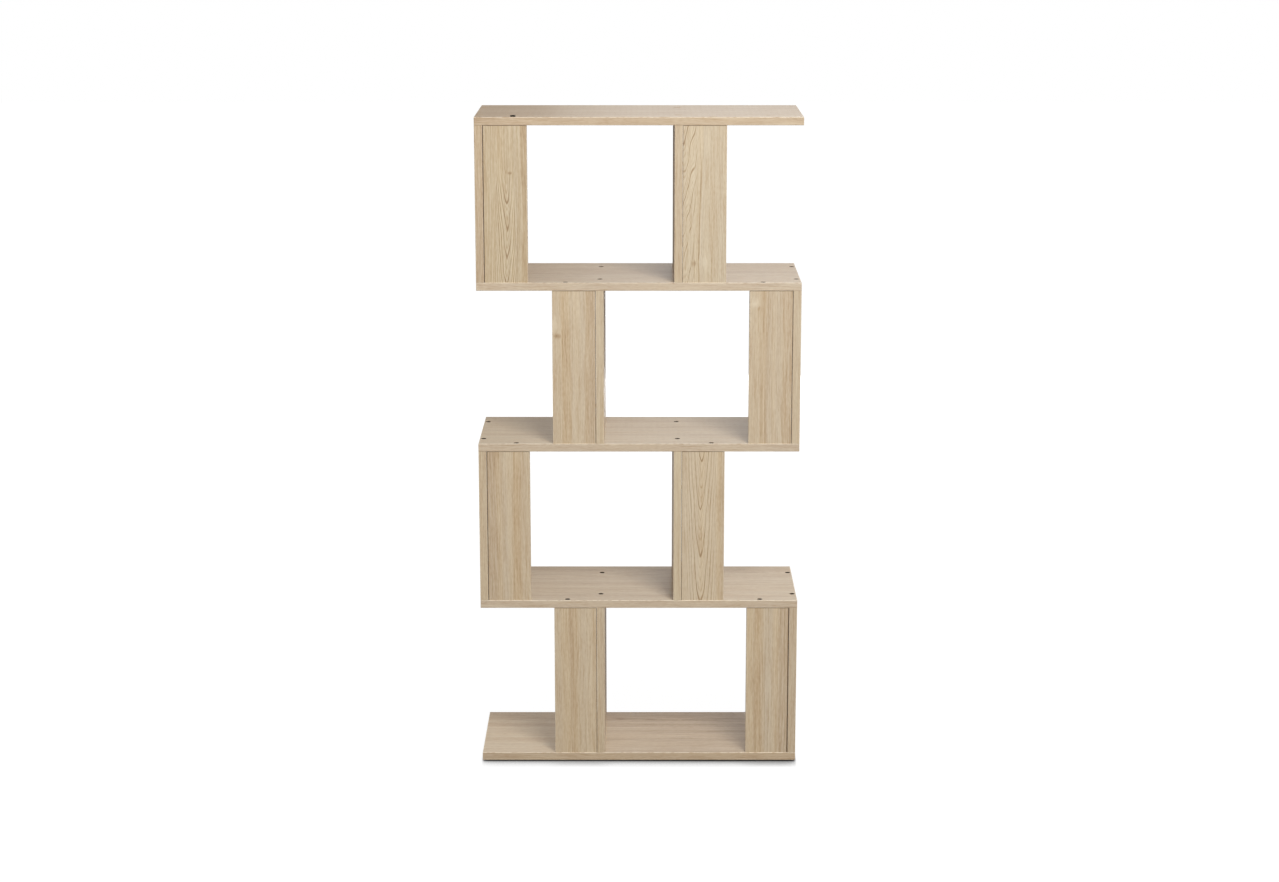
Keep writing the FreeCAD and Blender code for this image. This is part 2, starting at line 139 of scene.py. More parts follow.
def grain_noise(tree, point, width, length, detail):
    """Noise on a point of (across, along, through) in mm, in grains of that width and length."""
    stretch = (1.0 / width, 1.0 / length, 1.0 / GRAIN_DEPTH)
    fitted = add(tree, "Mapping", {"Vector": point, "Scale": stretch}).outputs["Vector"]
    grains = {"Vector": fitted, "Scale": 1.0, "Detail": detail, "Roughness": GRAIN_ROUGHNESS}
    return add(tree, "TexNoise", grains).outputs["Fac"]


def knot_pull(tree, across, along, place, height, half_width, half_height):
    """How close a point is to a knot, 1 at its middle, as e to the minus squared distance in half sizes."""
    side = calc(tree, "DIVIDE", calc(tree, "SUBTRACT", across, place), half_width)
    up = calc(tree, "DIVIDE", calc(tree, "SUBTRACT", along, height), half_height)
    square = calc(tree, "MULTIPLY_ADD", side, side, calc(tree, "MULTIPLY", up, up))
    return calc(tree, "EXPONENT", calc(tree, "MULTIPLY", square, -1.0))


def stroke(tree, count, half_width):
    """A soft line of that half width at each whole number of count, less its own mean over a step."""
    aside = distance(tree, calc(tree, "FRACT", count), 0.5)
    edge = calc(tree, "SUBTRACT", 0.5, half_width)
    return calc(tree, "SUBTRACT", between(tree, aside, edge, 0.5), half_width)


FLAME_LINE = 1.5
FLAME_POINT = 7.0
FLAME_WIDEST = 0.45
FLAME_FADE = 0.75
FINE_FLAME = 0.5


def flame_lines(tree, across, along, unrest, heart):
    """Growth rings cut at a slant, which close in pointed flames along the heart line.

    A ring is a pointed parabola: its height above its tip is off times off plus a point of a few mm, over
    the bluntness, where off is the distance from the heart line. Tips stand one step apart, shifted by the
    unrest, and finer rings, half as dark, split each step evenly. A line keeps its width on the steep arms,
    because its share of a step grows with the root of one plus the slope squared. All fade out sideways
    from full to the reach, and upwards at the heart's end where it has one.
    """
    bluntness = heart["bluntness"]
    step = heart["step"]
    off = distance(tree, across, heart["place"])
    pointed = calc(tree, "MULTIPLY", off, calc(tree, "ADD", off, FLAME_POINT))
    rise = calc(tree, "DIVIDE", pointed, bluntness)
    height = calc(tree, "SUBTRACT", calc(tree, "SUBTRACT", along, heart["tip"]), rise)
    count = calc(tree, "MULTIPLY_ADD", unrest, heart["unrest"], calc(tree, "DIVIDE", height, step))
    slope = calc(tree, "MULTIPLY_ADD", off, 2.0 / bluntness, FLAME_POINT / bluntness)
    spread = calc(tree, "SQRT", calc(tree, "MULTIPLY_ADD", slope, slope, 1.0))
    lines = 0.0
    for splits, gain in ((heart["splits"], FINE_FLAME), (1.0, 1.0)):
        share = calc(tree, "MULTIPLY", spread, FLAME_LINE * splits / step)
        half_width = calc(tree, "MINIMUM", share, FLAME_WIDEST)
        drawn = stroke(tree, calc(tree, "MULTIPLY", count, splits), half_width)
        lines = calc(tree, "MULTIPLY_ADD", drawn, gain, lines)
    flames = calc(tree, "MULTIPLY", lines, between(tree, off, heart["reach"], heart["full"]))
    if "end" in heart:
        lower = between(tree, along, heart["end"], FLAME_FADE * heart["end"])
        flames = calc(tree, "MULTIPLY", flames, lower)
    return flames


# A grain is a width and a length in mm and a detail. A layer of the print is a grain and its gain in tone.
STREAKS = ((24.0, 900.0, 1.0, 0.2), (6.0, 500.0, 1.0, 0.14))
SPECKS = ((1.4, 45.0, 1.0, 0.48), (1.6, 9.0, 0.0, 0.34))
FIBRES = ((1.5, 80.0, 0.0, -0.16), (1.9, 110.0, 0.0, 0.13))
FIBRE_STEP = (0.5, 0.68)
GROWTH_STEP = 4.2
GROWTH_HALF_WIDTH = 0.3
GROWTH_DARK = 0.04
GROWTH_DRIFT = 4.0
GROWTH_DRIFT_GRAIN = (26.0, 900.0, 0.0)


def plain_oak(tree, point, across, figure):
    """Tone of plain oak about the figure's own: streaks, specks, fibres and growth lines.

    Streaks and specks are noise stretched along the grain, added about its mean. Fibres, dark and pale,
    show where finer noise is high. Growth lines stand at even steps across, shifted by slow noise.
    """
    streaks = figure.get("streaks", 1.0)
    layers = [(*grain, streaks * gain) for *grain, gain in STREAKS] + list(SPECKS)
    tone = figure["tone"] - 0.5 * sum(gain for *_, gain in layers)
    for *grain, gain in layers:
        tone = calc(tree, "MULTIPLY_ADD", grain_noise(tree, point, *grain), gain, tone)
    for *grain, gain in FIBRES:
        fibre = between(tree, grain_noise(tree, point, *grain), *FIBRE_STEP)
        tone = calc(tree, "MULTIPLY_ADD", fibre, gain, tone)
    drift = calc(tree, "MULTIPLY", grain_noise(tree, point, *GROWTH_DRIFT_GRAIN), GROWTH_DRIFT)
    growth = calc(tree, "MULTIPLY_ADD", across, 1.0 / GROWTH_STEP, drift)
    lines = stroke(tree, growth, GROWTH_HALF_WIDTH)
    return calc(tree, "MULTIPLY_ADD", lines, -figure.get("lines", GROWTH_DARK), tone)


UNREST_GRAIN = (16.0, 70.0, 1.0)
PATCH_GRAIN = (8.0, 45.0, 1.0)
PATCH_STEP = (0.3, 0.55)
PATCH_LEAST = 0.5
VEIN_EDGES = (1.9, 0.3)
VEIN_FADE = 0.7


def figured_oak(tree, tone, point, across, along, width, figure):
    """The tone less the darkness of the figure's own bands, flames and veins, and of its painted light step.

    Bands are straight runs of darkness between places across the board. Flames are half as strong between
    patches of noise. A vein is a thin line at one place across, which fades out towards its end. The painted
    light step is a smooth step along the grain from its plain place to its painted place: painted shade, or
    painted light where its darkness is below 0.
    """
    if "bands" in figure:
        stops = [(place / width, (dark, dark, dark, 1.0)) for place, dark in figure["bands"]]
        band = ramp(tree, calc(tree, "DIVIDE", across, width), stops)
        tone = calc(tree, "SUBTRACT", tone, band)
    if "heart" in figure:
        unrest = calc(tree, "SUBTRACT", grain_noise(tree, point, *UNREST_GRAIN), 0.5)
        flames = flame_lines(tree, across, along, unrest, figure["heart"])
        patches = between(tree, grain_noise(tree, point, *PATCH_GRAIN), *PATCH_STEP)
        strength = calc(tree, "MULTIPLY_ADD", patches, 1.0 - PATCH_LEAST, PATCH_LEAST)
        flames = calc(tree, "MULTIPLY", flames, strength)
        tone = calc(tree, "MULTIPLY_ADD", flames, -figure["heart"]["dark"], tone)
    for place, end, dark in figure.get("veins", []):
        line = between(tree, distance(tree, across, place), *VEIN_EDGES)
        vein = calc(tree, "MULTIPLY", line, between(tree, along, end, VEIN_FADE * end))
        tone = calc(tree, "MULTIPLY_ADD", vein, -dark, tone)
    if "painted_light_step" in figure:
        plain_place, painted_place, dark = figure["painted_light_step"]
        tone = calc(tree, "MULTIPLY_ADD", between(tree, along, plain_place, painted_place), -dark, tone)
    return tone


HUE_DRIFT = 0.14
HUE_GRAIN = (14.0, 700.0, 1.0)
HUE_BAND_EDGES = (1.5, 0.5)


def oak_warmth(tree, point, across, figure):
    """How much redder and less blue the wood is: slow noise about the figure's warmth, plus its hue bands.

    A hue band is a place across, a half width and a warmth, tan above 0 and grey below. It is gone at one
    and a half half widths from its place, and full within half of one.
    """
    slow = grain_noise(tree, point, *HUE_GRAIN)
    warmth = calc(tree, "MULTIPLY_ADD", slow, HUE_DRIFT, figure.get("warmth", 0.0) - 0.5 * HUE_DRIFT)
    for place, half_width, warm in figure.get("hue_bands", []):
        edges = [edge * half_width for edge in HUE_BAND_EDGES]
        inside = between(tree, distance(tree, across, place), *edges)
        warmth = calc(tree, "MULTIPLY_ADD", inside, warm, warmth)
    return warmth


SEED_STEP = 97.0
SWAY = 12.0
SWAY_GRAIN = (60.0, 300.0, 0.0)
KNOT_BEND = 0.7
PORE_GRAIN = (0.45, 10.0, 0.0)
PORE_STEP = (0.6, 0.74)


def oak_print(tree, across, along, through, seed, width, figure):
    """The printed oak: its tone, 0 on the darkest lines and 1 in the palest wood, its pores and warmth.

    The grain wanders sideways with slow noise and bends in towards the knots, which are darker spots, or
    paler ones where their darkness is below 0. Plain oak, the figure and the warmth follow the bent grain.
    Pores show where fine noise is high. The seed moves the print to another depth of all its noise.
    """
    depth = calc(tree, "ADD", through, SEED_STEP * seed)
    straight = add(tree, "CombineXYZ", {0: across, 1: along, 2: depth}).outputs[0]
    sway = grain_noise(tree, straight, *SWAY_GRAIN)
    bent = calc(tree, "MULTIPLY_ADD", sway, SWAY, calc(tree, "SUBTRACT", across, 0.5 * SWAY))
    knots = figure.get("knots", [])
    pulls = [knot_pull(tree, bent, along, *knot[:4]) for knot in knots]
    for (place, *_), pull in zip(knots, pulls):
        inward = calc(tree, "MULTIPLY", calc(tree, "SUBTRACT", place, bent), pull)
        bent = calc(tree, "MULTIPLY_ADD", inward, KNOT_BEND, bent)
    point = add(tree, "CombineXYZ", {0: bent, 1: along, 2: depth}).outputs[0]
    tone = plain_oak(tree, point, bent, figure)
    tone = figured_oak(tree, tone, point, bent, along, width, figure)
    for (*_, dark), pull in zip(knots, pulls):
        tone = calc(tree, "MULTIPLY_ADD", pull, -dark, tone)
    pores = between(tree, grain_noise(tree, point, *PORE_GRAIN), *PORE_STEP)
    return tone, pores, oak_warmth(tree, point, bent, figure)


DEEP_GRAIN = (160, 133, 102)
TAN_WOOD = (189, 164, 133)
BEIGE_WOOD = (204, 185, 157)
PALE_WOOD = (217, 201, 175)
OAK_SHADES = (DEEP_GRAIN, TAN_WOOD, BEIGE_WOOD, PALE_WOOD)
SHADE_PLACES = (0.0, 0.34, 0.64, 1.0)
WARM_RED = 0.3
WARM_BLUE = 0.7
PORE_DARK = 0.14


def oak_colours(tree, tone, pores, warmth, shades):
    """The print's colour: four shades in straight runs along the tone, redder and less blue by warmth.

    The pores take a seventh of the deepest shade.
    """
    colours = [linear(shade) for shade in shades]
    wood = ramp(tree, tone, list(zip(SHADE_PLACES, colours)))
    red, green, blue = add(tree, "SeparateColor", {"Color": wood}).outputs
    redder = calc(tree, "MULTIPLY", red, calc(tree, "MULTIPLY_ADD", warmth, WARM_RED, 1.0))
    less_blue = calc(tree, "MULTIPLY", blue, calc(tree, "MULTIPLY_ADD", warmth, -WARM_BLUE, 1.0))
    tinted = add(tree, "CombineColor", {0: redder, 1: green, 2: less_blue}).outputs["Color"]
    return blend(tree, calc(tree, "MULTIPLY", pores, PORE_DARK), tinted, colours[0])


CHIPS_PER_MM = 0.6
# The chips are far darker than raw chipboard: painted shade deep in the bores.
SHADED_CHIP_SHADES = ((0.0, (32, 24, 17)), (0.5, (45, 34, 25)), (1.0, (66, 51, 38)))


def shaded_chip_colours(tree, point):
    """Bored chipboard: cells of one to two mm, each of one random dark brown, painted shade of the bores."""
    cells = add(tree, "TexVoronoi", {"Vector": point, "Scale": CHIPS_PER_MM})
    tone = add(tree, "SeparateColor", {"Color": cells.outputs["Color"]}).outputs[0]
    return ramp(tree, tone, [(place, linear(shade)) for place, shade in SHADED_CHIP_SHADES])


PAPER_THICKNESS = 0.35
PAPER_ROUGHNESS = 0.35
PAPER_PORE_ROUGHNESS = 0.12
PAPER_RELIEF = 0.00006
PAPER_IOR = 1.45
PALE_POLISH = 0.06
CHIP_ROUGHNESS = 0.35
CUT_EDGE_AND_SHADE = (112, 88, 64)
CUT_SHADE_STEP = (1.2, 0.36)


def board_material(node, along, through, seed, figure):
    """Printed paper on both faces of a board, and chips in painted shade wherever it is deeper than the
    paper.

    A figure with a joint shows a dark line along its top and along one side, which the joint names as 0 or
    1:
    partly the paper's dark cut, partly painted shade under the shelf above and in the joint's gap. The line
    is as wide there as at the top, times the joint's second number.
    """
    low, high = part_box(node)
    across = AXIS_X + AXIS_Y + AXIS_Z - along - through
    size = (high - low) * MM
    made, tree = fresh_material(node + "_oak_paper")
    inside = in_mm(tree, low)
    axes = axes_of(tree, inside)
    grain = axes[across], axes[along], axes[through]
    tone, pores, warmth = oak_print(tree, *grain, seed, size[across], figure)
    paper = oak_colours(tree, tone, pores, warmth, figure.get("shades", OAK_SHADES))
    # Painted shade: a dark line under the shelf above and in the joint's gap, partly the paper's cut edge.
    if "joint" in figure:
        side, width = figure["joint"]
        from_joint = distance(tree, axes[across], side * size[across])
        from_top = calc(tree, "SUBTRACT", size[along], axes[along])
        cut_shade_rim = calc(tree, "MINIMUM", calc(tree, "DIVIDE", from_joint, width), from_top)
        paper = blend(tree, between(tree, cut_shade_rim, *CUT_SHADE_STEP), paper, linear(CUT_EDGE_AND_SHADE))
    half = 0.5 * size[through]
    inward = calc(tree, "SUBTRACT", half, distance(tree, axes[through], half))
    core = calc(tree, "GREATER_THAN", inward, PAPER_THICKNESS)
    colour = blend(tree, core, paper, shaded_chip_colours(tree, inside))
    plain = calc(tree, "MULTIPLY_ADD", tone, -PALE_POLISH, PAPER_ROUGHNESS)
    porous = calc(tree, "MULTIPLY_ADD", pores, PAPER_PORE_ROUGHNESS, plain)
    roughness = calc(tree, "MULTIPLY_ADD", core, CHIP_ROUGHNESS, porous)
    height = calc(tree, "SUBTRACT", tone, pores)
    satin(made, colour, roughness, height, PAPER_RELIEF, IOR=figure.get("ior", PAPER_IOR))
    dress(node, made)


def shelf_heart(place, tip, dark):
    """Long faint flames along a shelf, with their heart line at place from its front edge."""
    return {"place": place, "tip": tip, "step": 170.0, "splits": 3.0, "unrest": 0.6, "bluntness": 1.8,
            "full": 20.0, "reach": 60.0, "dark": dark}


SHELF_SEED_STEP = 3
shelf_figures = [
    {
        "tone": 0.49,
        "warmth": -0.04,
        "shades": ((160, 131, 100), (189, 163, 131), (204, 184, 155), (217, 200, 173)),
        "streaks": 2.0,
        "heart": shelf_heart(190.0, 40.0, 0.24),
        "bands": [(0.0, 0.0), (62.0, 0.03), (75.0, 0.2), (86.0, 0.04), (120.0, 0.12), (148.0, 0.1),
                  (163.0, 0.34), (176.0, 0.18), (195.0, 0.3), (238.0, 0.3)],
        "knots": [(194.0, 262.0, 5.0, 9.0, 0.3), (192.0, 318.0, 4.0, 14.0, 0.25)],
        # Painted light: the tone rises towards the left end, where light from the left falls.
        "painted_light_step": (440.0, 90.0, -0.2),
    },
    {
        "tone": 0.59,
        "warmth": -0.03,
        "streaks": 2.0,
        "heart": shelf_heart(60.0, 90.0, 0.18),
        "bands": [(0.0, 0.0), (22.0, 0.02), (30.0, 0.14), (40.0, 0.0), (100.0, 0.02), (118.0, 0.2),
                  (135.0, 0.06), (180.0, 0.14), (238.0, 0.22)],
    },
    {
        "tone": 0.65,
        "warmth": -0.02,
        "streaks": 1.6,
        "heart": shelf_heart(150.0, 130.0, 0.14),
        "bands": [(0.0, 0.0), (70.0, 0.02), (80.0, 0.13), (95.0, 0.02), (140.0, 0.08), (238.0, 0.13)],
    },
    {
        "tone": 0.51,
        "warmth": -0.04,
        "streaks": 1.6,
        "heart": shelf_heart(95.0, 20.0, 0.16),
        "bands": [(0.0, 0.0), (60.0, 0.02), (110.0, 0.06), (130.0, 0.13), (150.0, 0.06), (200.0, 0.1),
                  (238.0, 0.14)],
    },
    {
        "tone": 0.41,
        "warmth": -0.05,
        "streaks": 1.6,
        "ior": 1.56,
        "heart": shelf_heart(130.0, 70.0, 0.16),
        "bands": [(0.0, 0.0), (80.0, 0.07), (120.0, 0.0), (180.0, 0.07), (238.0, 0.04)],
        # Painted shade: darker at the left end, where the top shows none of the bright room's reflection.
        "painted_light_step": (175.0, 90.0, 0.1),
    },
]
for number, figure in enumerate(shelf_figures, start=1):
    board_material(f"shelf_{number}", AXIS_X, AXIS_Z, SHELF_SEED_STEP * number, figure)

# Each shelf has four strips of oak-printed edge band, ironed on its front, back and two ends.
# The band is a thin plastic strip with its grain along its length and a small rounded arris.
# A painted highlight, pale in patches, lies on the upper arris, where light from above catches it.
BAND_SHADES = ((158, 130, 101), (187, 163, 135), (202, 183, 158), (214, 198, 173))
TAN_BAND_SHADES = ((153, 123, 92), (182, 156, 125), (197, 175, 146), (209, 190, 162))
TAN_BANDED_SHELVES = (1, 5)
BAND_LIFTS = {1: (-0.015, -0.05), 2: (0.0, 0.0), 3: (0.0, 0.0), 4: (0.03, 0.05), 5: (-0.02, 0.1)}
BAND_FIGURE = {"tone": 0.62}
BAND_DEPTH_DRIFT = 0.05
BAND_ROUGHNESS = 0.4
BAND_PORE_ROUGHNESS = 0.1
BAND_RELIEF = 0.00005
BAND_IOR = 1.48
ARRIS = 1.6
# The pale colour of the painted arris highlight.
PAINTED_ARRIS_HIGHLIGHT = (240, 228, 206)
ARRIS_HIGHLIGHT_GRAIN = (9.0, 9.0, 2.0)
ARRIS_HIGHLIGHT_STEP = (0.3, 0.6)
ARRIS_HIGHLIGHT_POLISH = 0.1
SHELF_ARRIS_HIGHLIGHT = 0.85
SHELF_BAND_SEED = 40


def band_material(name, seed, layout, half_width, shades, highlight_share):
    """Edge band in oak print, with a pale painted highlight in patches, of the given share, within an arris
    of its half width.

    The layout takes the tree and the three axes in mm. It gives the places across and along the strip, the
    distance from its middle line, and a lift, which is added to the print's tone.
    """
    made, tree = fresh_material(name)
    point = in_mm(tree)
    axes = axes_of(tree, point)
    across, along, aside, lift = layout(tree, axes)
    depth = calc(tree, "MULTIPLY", calc(tree, "ADD", axes[AXIS_X], axes[AXIS_Y]), BAND_DEPTH_DRIFT)
    tone, pores, warmth = oak_print(tree, across, along, depth, seed, 2.0 * half_width, BAND_FIGURE)
    tone = calc(tree, "ADD", tone, lift)
    print_colour = oak_colours(tree, tone, pores, warmth, shades)
    # Painted highlight: pale patches along the arris, where light catches the rounded edge.
    highlight_patches = between(tree, grain_noise(tree, point, *ARRIS_HIGHLIGHT_GRAIN), *ARRIS_HIGHLIGHT_STEP)
    highlighted = calc(tree, "MULTIPLY", between(tree, aside, half_width - ARRIS, half_width), highlight_patches)
    colour = blend(tree, calc(tree, "MULTIPLY", highlighted, highlight_share), print_colour, linear(PAINTED_ARRIS_HIGHLIGHT))
    plain = calc(tree, "MULTIPLY_ADD", tone, -PALE_POLISH, BAND_ROUGHNESS)
    porous = calc(tree, "MULTIPLY_ADD", pores, BAND_PORE_ROUGHNESS, plain)
    roughness = calc(tree, "MULTIPLY_ADD", highlighted, -ARRIS_HIGHLIGHT_POLISH, porous)
    height = calc(tree, "SUBTRACT", tone, pores)
    satin(made, colour, roughness, height, BAND_RELIEF, IOR=BAND_IOR)
    return made


def shelf_band(number):
    """Band of one shelf: its grain follows X on the long strips and Y on the two ends.

    Its lift is a straight run along X. It passes through the middle's lift, with a gain at the right end
    and as much loss at the left.
    """
    low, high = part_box(f"shelf_{number}")
    middle = 0.5 * MM * (low.z + high.z)
    half_width = 0.5 * MM * (high.z - low.z)
    end = MM * high.x
    middle_lift, end_gain = BAND_LIFTS[number]

    def layout(tree, axes):
        """Across counts from the middle up, and along changes from X to Y beyond the board's ends."""
        x, y, z = axes
        across = calc(tree, "SUBTRACT", z, middle)
        on_end = calc(tree, "GREATER_THAN", calc(tree, "ABSOLUTE", x), end)
        along = calc(tree, "MULTIPLY_ADD", on_end, calc(tree, "SUBTRACT", y, x), x)
        lift = calc(tree, "MULTIPLY_ADD", x, end_gain / end, middle_lift)
        return across, along, across, lift

    shades = TAN_BAND_SHADES if number in TAN_BANDED_SHELVES else BAND_SHADES
    name = f"shelf_{number}_band_print"
    return band_material(name, SHELF_BAND_SEED + number, layout, half_width, shades, SHELF_ARRIS_HIGHLIGHT)


for number in BAND_LIFTS:
    dress(f"shelf_{number}_edge_bands", shelf_band(number))

# Two posts stand on every tier. A post is a full-depth side panel and a narrow front panel, in an L.
# The panels are the same papered chipboard with upright grain, screwed and dowelled between the shelves.
# Each front panel is cut from another place of the print, and has its own bands, flames and small knots.
FRONT_SEED = 60
SIDE_SEED = 81
POST_SEED_STEP = 2


def side_heart(place, tip, dark):
    """Tall flames up a side panel, with their heart line at place from its front edge."""
    return {"place": place, "tip": tip, "step": 84.0, "splits": 4.0, "unrest": 0.7, "bluntness": 3.2,
            "full": 22.0, "reach": 52.0, "dark": dark}


side_figures = [
    {
        "tone": 0.61,
        "heart": side_heart(92.0, 20.0, 0.6),
        "bands": [(0.0, 0.06), (30.0, 0.0), (150.0, 0.02), (168.0, 0.15), (186.0, 0.04), (238.0, 0.08)],
        "hue_bands": [(30.0, 12.0, -0.03), (168.0, 12.0, 0.05), (210.0, 10.0, -0.03)],
    },
    {
        "tone": 0.62,
        "bands": [(0.0, 0.1), (24.0, 0.01), (66.0, 0.02), (82.0, 0.16), (100.0, 0.04), (146.0, 0.0),
                  (162.0, 0.13), (186.0, 0.02), (238.0, 0.1)],
        "hue_bands": [(44.0, 14.0, -0.04), (84.0, 9.0, 0.06), (160.0, 10.0, 0.04)],
        "knots": [(130.0, 188.0, 5.0, 4.0, 0.4)],
    },
    {
        "tone": 0.61,
        "heart": side_heart(150.0, -16.0, 0.5),
        "bands": [(0.0, 0.02), (34.0, 0.04), (48.0, 0.15), (66.0, 0.03), (104.0, 0.0), (206.0, 0.03),
                  (238.0, 0.13)],
        "hue_bands": [(50.0, 10.0, 0.06), (92.0, 12.0, -0.03), (222.0, 10.0, 0.04)],
    },
    {
        "tone": 0.62,
        "bands": [(0.0, 0.03), (58.0, 0.0), (74.0, 0.13), (90.0, 0.12), (106.0, 0.02), (170.0, 0.05),
                  (190.0, 0.17), (208.0, 0.05), (238.0, 0.02)],
        "hue_bands": [(30.0, 10.0, 0.03), (140.0, 16.0, -0.04), (190.0, 9.0, 0.06)],
        "veins": [(122.0, 240.0, 0.3)],
    },
]
front_figures = {
    "tier_4_end": {
        "tone": 0.55,
        "shades": ((158, 130, 96), (187, 162, 127), (202, 183, 151), (215, 199, 169)),
        "lines": 0.1,
        "joint": (0.0, 1.0),
        "warmth": -0.015,
        "hue_bands": [(62.0, 7.0, -0.035)],
        "heart": {"place": 41.0, "tip": 43.0, "step": 52.0, "splits": 3.0, "unrest": 0.9, "bluntness": 2.2,
                  "full": 14.0, "reach": 26.0, "end": 225.0, "dark": 0.68},
        "bands": [(0.0, 0.08), (6.0, 0.0), (68.0, 0.0), (72.0, 0.16), (80.0, 0.14)],
        "knots": [(48.0, 202.0, 4.5, 2.5, 0.4), (41.0, 112.0, 3.0, 9.0, 0.25),
                  (41.0, 156.0, 4.0, 12.0, 0.25)],
    },
    "tier_4_middle": {
        "tone": 0.64,
        "shades": ((160, 133, 102), (189, 165, 133), (204, 186, 157), (217, 202, 175)),
        "joint": (0.0, 0.45),
        "warmth": -0.02,
        "hue_bands": [(30.0, 5.0, 0.03), (40.0, 4.0, -0.02), (66.0, 8.0, -0.03)],
        "heart": {"place": -26.0, "tip": -20.0, "step": 58.0, "splits": 4.0, "unrest": 1.4,
                  "bluntness": 18.0, "full": 42.0, "reach": 55.0, "dark": 0.55},
        "bands": [(0.0, 0.08), (20.0, 0.02), (48.0, 0.0), (54.0, 0.1), (62.0, 0.0), (80.0, 0.06)],
        "veins": [(33.0, 260.0, 0.4)],
        "knots": [(24.0, 36.0, 4.0, 5.0, 0.5), (42.0, 38.0, 7.0, 12.0, -0.25)],
    },
    "tier_3_middle": {
        "tone": 0.66,
        "joint": (1.0, 0.65),
        "warmth": 0.02,
        "hue_bands": [(24.0, 8.0, 0.05), (35.0, 4.0, -0.03), (52.0, 6.0, -0.03), (71.0, 6.0, -0.03)],
        "bands": [(0.0, 0.08), (13.0, 0.05), (18.0, 0.17), (31.0, 0.15), (36.0, 0.0), (55.0, 0.02),
                  (61.0, 0.18), (75.0, 0.2), (80.0, 0.14)],
        "knots": [(5.0, 226.0, 9.0, 13.0, -0.3), (9.0, 204.0, 7.0, 4.0, 0.5)],
    },
    "tier_3_end": {
        "tone": 0.66,
        "joint": (1.0, 0.35),
        "hue_bands": [(24.0, 6.0, 0.05), (38.0, 6.0, -0.045), (58.0, 6.0, -0.02)],
        "bands": [(0.0, 0.03), (16.0, 0.05), (21.0, 0.16), (33.0, 0.14), (39.0, 0.0), (59.0, 0.02),
                  (66.0, 0.17), (80.0, 0.18)],
        "knots": [(7.0, 265.0, 8.0, 9.0, -0.35), (15.0, 256.0, 4.0, 5.0, 0.4)],
    },
    "tier_2_end": {
        "tone": 0.62,
        "joint": (0.0, 0.7),
        "warmth": 0.015,
        "hue_bands": [(7.0, 7.0, -0.04), (31.0, 6.0, -0.04), (58.0, 8.0, 0.05)],
        "bands": [(0.0, 0.2), (17.0, 0.18), (24.0, 0.03), (44.0, 0.0), (50.0, 0.15), (61.0, 0.14),
                  (67.0, 0.06), (80.0, 0.08)],
    },
    "tier_2_middle": {
        "tone": 0.69,
        "lines": 0.1,
        "joint": (0.0, 0.75),
        "warmth": 0.01,
        "hue_bands": [(12.0, 12.0, -0.02), (39.0, 6.0, 0.03), (71.0, 5.0, 0.05)],
        "heart": {"place": 37.0, "tip": -12.0, "step": 95.0, "splits": 4.0, "unrest": 0.6, "bluntness": 2.5,
                  "full": 16.0, "reach": 34.0, "dark": 0.58},
        "bands": [(0.0, 0.04), (66.0, 0.02), (71.0, 0.18), (80.0, 0.16)],
        "knots": [(37.0, 110.0, 4.0, 32.0, 0.14), (37.0, 204.0, 4.5, 22.0, 0.2),
                  (37.0, 284.0, 4.0, 14.0, 0.2)],
    },
    "tier_1_middle": {
        "tone": 0.65,
        "joint": (1.0, 0.8),
        "warmth": 0.04,
        "hue_bands": [(6.0, 6.0, -0.03), (21.0, 8.0, 0.03), (40.0, 4.0, 0.03), (54.0, 6.0, -0.03)],
        "bands": [(0.0, 0.04), (28.0, 0.04), (31.0, 0.17), (42.0, 0.15), (47.0, 0.0), (70.0, 0.0),
                  (76.0, 0.14), (80.0, 0.16)],
    },
    "tier_1_end": {
        "tone": 0.65,
        "joint": (1.0, 1.7),
        "warmth": 0.02,
        "hue_bands": [(9.0, 5.0, 0.05), (22.0, 5.0, 0.05), (41.0, 8.0, -0.04), (67.0, 8.0, -0.05)],
        "bands": [(0.0, 0.03), (13.0, 0.04), (16.0, 0.19), (27.0, 0.18), (34.0, 0.0), (53.0, 0.02),
                  (62.0, 0.2), (76.0, 0.18), (80.0, 0.1)],
    },
}
for number, (post, figure) in enumerate(front_figures.items()):
    seed_shift = POST_SEED_STEP * number
    board_material(post + "_front_panel", AXIS_Z, AXIS_Y, FRONT_SEED + seed_shift, figure)
    # The lower two tiers take the four side figures again, moved on by one.
    turn = number // len(side_figures)
    side_figure = side_figures[(number + turn) % len(side_figures)]
    board_material(post + "_side_panel", AXIS_Z, AXIS_X, SIDE_SEED + seed_shift, side_figure)

# The side panels carry edge band on their front and back edges, and the front panels on their free edge.
# It is the same plastic band as on the shelves, a shade more tan, with upright grain, trimmed by a router.
TIERS = (1, 2, 3, 4)
STRIP_SHADES = ((154, 125, 95), (185, 160, 129), (200, 180, 151), (212, 196, 167))
# The strips' arrises take less of the painted highlight.
STRIP_ARRIS_HIGHLIGHT = 0.3
END_LIFTS = {1: 0.0, 2: 0.06, 3: 0.08, 4: -0.16}
MIDDLE_LIFTS = {1: 0.02, 2: 0.14, 3: 0.08, 4: -0.06}
SIDE_BAND_SEED = 110
FRONT_BAND_SEED = 120


